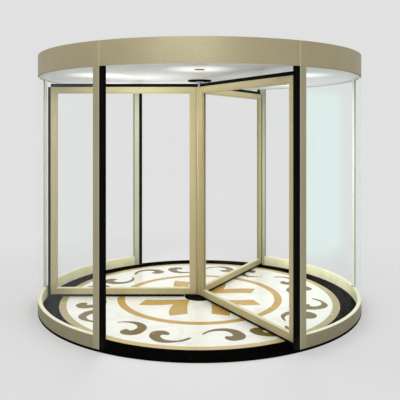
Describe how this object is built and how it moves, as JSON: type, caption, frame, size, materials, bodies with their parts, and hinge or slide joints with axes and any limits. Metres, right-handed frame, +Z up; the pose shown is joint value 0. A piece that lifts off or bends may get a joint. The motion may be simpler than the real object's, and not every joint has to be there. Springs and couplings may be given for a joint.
{
  "type": "revolving door",
  "caption": "Glazed revolving door: wings on a central shaft turn inside a round drum with curved glass walls, a canopy with ceiling lights and an inlaid stone floor.",
  "frame": {"origin": "middle of the floor slab's underside, on the turning axis", "axes": "+Z up along the turning axis, -Y out through the street opening, +X to the right of someone who faces the door from the street"},
  "size_m": [3.2, 3.1996, 2.44],
  "materials": {
    "champagne_aluminium": "fine satin anodised sheet and extrusions, champagne gold",
    "seam_aluminium": "bright satin joint strip",
    "roof_sheet": "matt grey sheet dust cover",
    "ceiling_white": "satin white painted panel",
    "downlight_trim": "satin grey die casting",
    "downlight_lens": "frosted lamp glass",
    "collar_black": "satin black powder coat",
    "shaft_steel": "turned grey steel",
    "rubber_black": "matt black safety edge",
    "seal_black": "black brush and rubber seal strip",
    "wall_glass": "curved laminated glass, faint green",
    "wing_glass": "clear flat toughened glass",
    "stone_black": "polished black granite",
    "stone_tan": "polished tan stone",
    "marble_white": "polished white marble with faint grey veins",
    "stone_brown": "polished olive brown stone",
    "stone_gold": "polished golden stone"
  },
  "bodies": {
    "drum": {"base_slab": "stone_black", "stone_tan_ring": "stone_tan", "marble_field": "marble_white", "medallion_inlays": "stone_gold", "post_rubbers": "rubber_black", "canopy_seam_strips": "seam_aluminium", "roof_cover": "roof_sheet", "ceiling": "ceiling_white", "downlight_trims": "downlight_trim", "downlight_lenses": "downlight_lens", "ceiling_collar": "collar_black", "floor_bearing": "collar_black", "left_bottom_rail": "champagne_aluminium", "left_mullion": "champagne_aluminium", "front_left_pane": "wall_glass", "rear_left_pane": "wall_glass", "right_bottom_rail": "champagne_aluminium", "right_mullion": "champagne_aluminium", "front_right_pane": "wall_glass", "rear_right_pane": "wall_glass", "front_right_post": "champagne_aluminium", "rear_right_post": "champagne_aluminium", "rear_left_post": "champagne_aluminium", "front_left_post": "champagne_aluminium", "canopy_front_fascia": "champagne_aluminium", "canopy_right_fascia": "champagne_aluminium", "canopy_rear_fascia": "champagne_aluminium", "canopy_left_fascia": "champagne_aluminium"},
    "rotor": {"centre_shaft": "shaft_steel", "centre_column": "champagne_aluminium", "left_wing_rails": "champagne_aluminium", "left_wing_stiles": "champagne_aluminium", "left_wing_glass": "wing_glass", "left_wing_seals": "seal_black", "front_right_wing_rails": "champagne_aluminium", "front_right_wing_stiles": "champagne_aluminium", "front_right_wing_glass": "wing_glass", "front_right_wing_seals": "seal_black", "rear_right_wing_rails": "champagne_aluminium", "rear_right_wing_stiles": "champagne_aluminium", "rear_right_wing_glass": "wing_glass", "rear_right_wing_seals": "seal_black"}
  },
  "joints": [
    {"name": "rotor_turn", "type": "hinge", "parent": "drum", "child": "rotor", "pos_m": [0, 0, 0], "axis": [0, 0, 1], "continuous": true}
  ]
}
